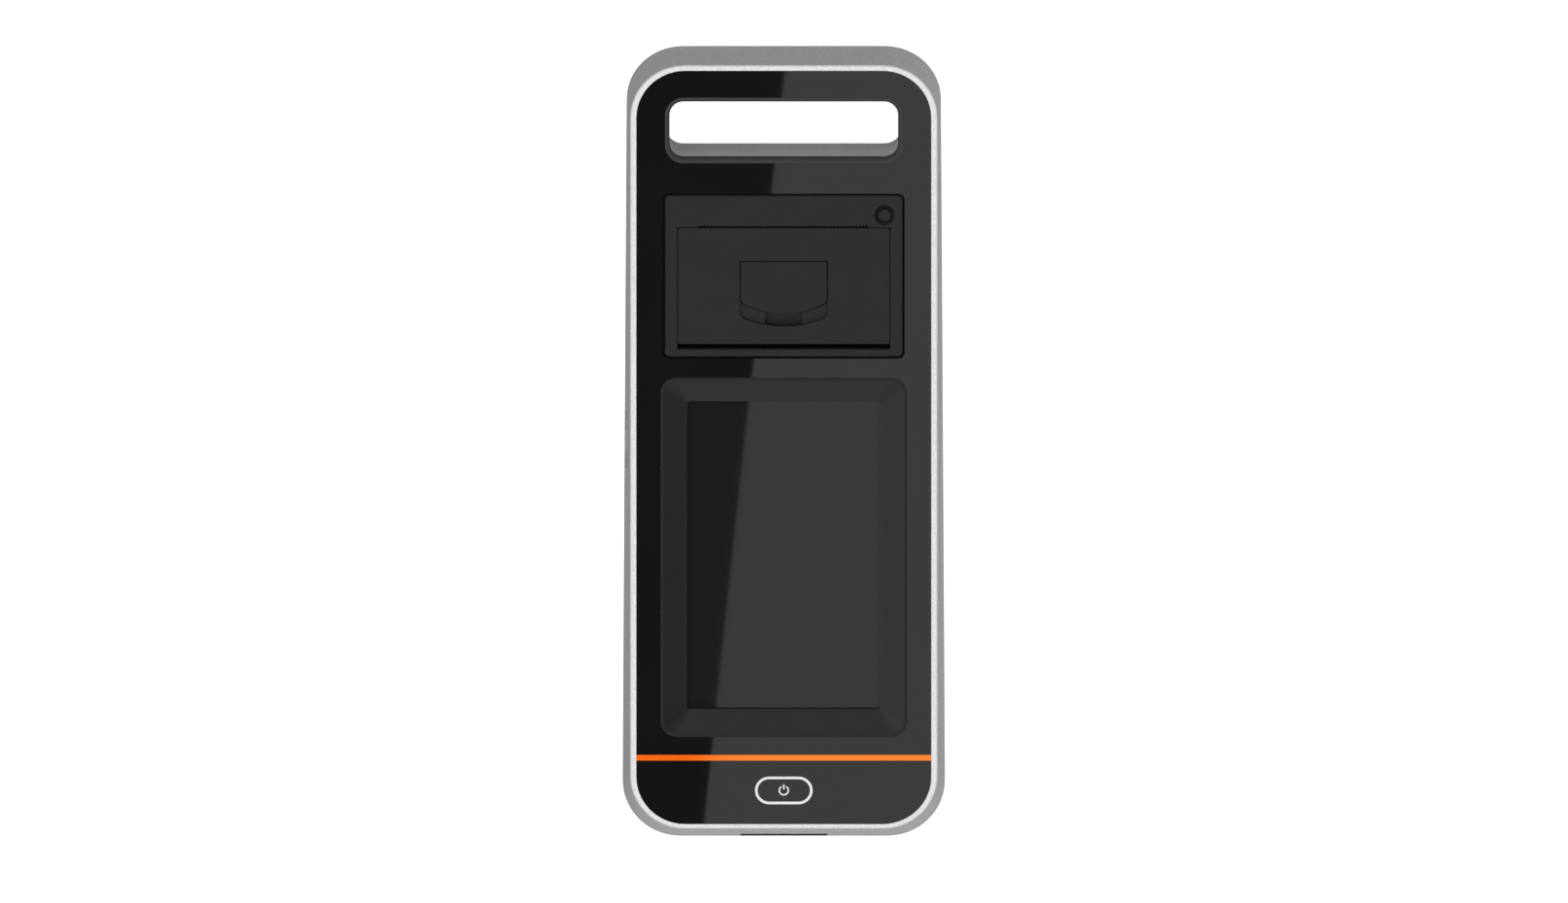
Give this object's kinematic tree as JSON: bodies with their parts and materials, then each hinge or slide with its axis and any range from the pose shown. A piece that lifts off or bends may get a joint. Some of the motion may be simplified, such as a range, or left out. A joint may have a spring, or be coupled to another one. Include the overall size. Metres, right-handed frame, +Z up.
{
  "type": "rapid test reader",
  "caption": "Wedge-shaped desktop rapid test reader: silver frame with carry handle, gloss panel, framed touch screen, receipt printer and a motor-driven cassette drawer.",
  "frame": {"origin": "on the desk, under the middle of the unit, halfway between the handle end and the low end", "axes": "+Z up, +Y from the low end towards the carrying handle, +X to the right as seen by the operator, who faces the panel from the low end"},
  "size_m": [0.1108, 0.2712, 0.1256],
  "materials": {
    "silver_frame": "fine silver paint on a cast frame, satin",
    "gloss_overlay": "deep black gloss overlay",
    "orange_strip": "satin orange",
    "handle_trim": "fine matt black",
    "bezel_matt": "fine matt black",
    "screen_glass": "dark touch glass over a display that is off",
    "display": "tin-plated steel tray with a dark glass face",
    "light_ring": "milky white light guide",
    "gloss_button": "black gloss",
    "white_mark": "white inlay",
    "circuit_board": "green solder resist",
    "printer_black": "fine spark-eroded black",
    "well_black": "moulded black",
    "tear_steel": "blackened steel",
    "print_head": "ceramic strip on an aluminium carrier",
    "steel_plate": "zinc-plated sheet",
    "motor_can": "drawn steel can",
    "gear_plastic": "natural acetal",
    "bright_steel": "ground steel",
    "black_steel": "blackened steel shaft",
    "platen_rubber": "ground black rubber",
    "housing_dark": "spark-eroded dark grey",
    "foot_rubber": "black rubber",
    "screw_steel": "black zinc",
    "tray_dark": "dark grey, fine texture",
    "optic_barrel": "black anodised",
    "board_parts": "moulded packages and a shield can",
    "battery_wrap": "blue shrink sleeve",
    "jack_black": "moulded black",
    "port_metal": "nickel-plated shell"
  },
  "bodies": {
    "case": {"front_frame": "silver_frame", "overlay_panel": "gloss_overlay", "accent_strip": "orange_strip", "handle_bezel": "handle_trim", "screen_bezel": "bezel_matt", "touch_glass": "screen_glass", "lcd_module": "display", "power_ring": "light_ring", "power_switch_board": "circuit_board", "printer_frame": "printer_black", "paper_well": "well_black", "tear_bar": "tear_steel", "thermal_head": "print_head", "mechanism_plate": "steel_plate", "feed_motor": "motor_can", "idler_pin": "bright_steel", "door_hinge_pin": "black_steel", "feed_switch": "circuit_board", "rear_housing": "housing_dark", "bottom_cover": "housing_dark", "foot_pads": "foot_rubber", "cover_screws": "screw_steel", "frame_screws": "screw_steel", "tray_bed": "well_black", "motor_bracket": "steel_plate", "tray_motor": "motor_can", "optics_head": "well_black", "lens_barrel": "optic_barrel", "main_board": "circuit_board", "board_parts": "board_parts", "battery_pack": "battery_wrap", "antenna_board": "circuit_board", "io_board": "circuit_board", "dc_jack": "jack_black", "usb_ports": "port_metal", "network_port": "port_metal"},
    "printer_door": {"printer_door": "printer_black"},
    "door_lever": {"door_lever": "printer_black", "latch_shaft": "black_steel"},
    "platen": {"platen_roller": "platen_rubber", "platen_shaft": "bright_steel", "platen_gear": "gear_plastic"},
    "idler": {"idler_gear": "gear_plastic"},
    "feed_pinion": {"motor_pinion": "gear_plastic"},
    "feed_button": {"feed_button": "printer_black"},
    "power_button": {"power_button": "gloss_button", "standby_symbol": "white_mark"},
    "tray": {"tray_front": "tray_dark", "test_tray": "tray_dark", "tray_rack": "gear_plastic"},
    "tray_pinion": {"drive_pinion": "gear_plastic"}
  },
  "joints": [
    {"name": "printer_door_hinge", "type": "hinge", "parent": "case", "child": "printer_door", "pos_m": [0, 0.03557, 0.09896], "axis": [1, 0, 0], "range_deg": [0, 100]},
    {"name": "door_lever_hinge", "type": "hinge", "parent": "printer_door", "child": "door_lever", "pos_m": [0, 0.05966, 0.10486], "axis": [-1, 0, 0], "range_deg": [0, 40], "stiffness_Nm_per_rad": 0.03, "springref_deg": -11.46},
    {"name": "platen_spin", "type": "hinge", "parent": "printer_door", "child": "platen", "pos_m": [0, 0.06909, 0.09969], "axis": [1, 0, 0], "continuous": true},
    {"name": "idler_spin", "type": "hinge", "parent": "case", "child": "idler", "pos_m": [0, 0.06933, 0.08829], "axis": [1, 0, 0], "continuous": true},
    {"name": "feed_pinion_spin", "type": "hinge", "parent": "case", "child": "feed_pinion", "pos_m": [0, 0.08013, 0.08804], "axis": [1, 0, 0], "continuous": true},
    {"name": "feed_button_press", "type": "slide", "parent": "case", "child": "feed_button", "axis": [0, 0.2538, -0.9673], "range_m": [0, 0.0008], "stiffness_N_per_m": 1200, "springref_m": -0.0005},
    {"name": "power_button_press", "type": "slide", "parent": "case", "child": "power_button", "axis": [0, 0.2538, -0.9673], "range_m": [0, 0.0007], "stiffness_N_per_m": 1500, "springref_m": -0.0005},
    {"name": "tray_slide", "type": "slide", "parent": "case", "child": "tray", "axis": [0, -1, 0], "range_m": [0, 0.072]},
    {"name": "tray_pinion_spin", "type": "hinge", "parent": "case", "child": "tray_pinion", "pos_m": [0.0191, -0.11178, 0.014], "axis": [0, 0, 1], "range_deg": [0, 740]}
  ],
  "couplings": [
    {"joint": "idler_spin", "follows": "platen_spin", "ratio": -0.72727},
    {"joint": "feed_pinion_spin", "follows": "platen_spin", "ratio": 1.1429},
    {"joint": "tray_pinion_spin", "follows": "tray_slide", "rad_per_m": 178.57}
  ]
}
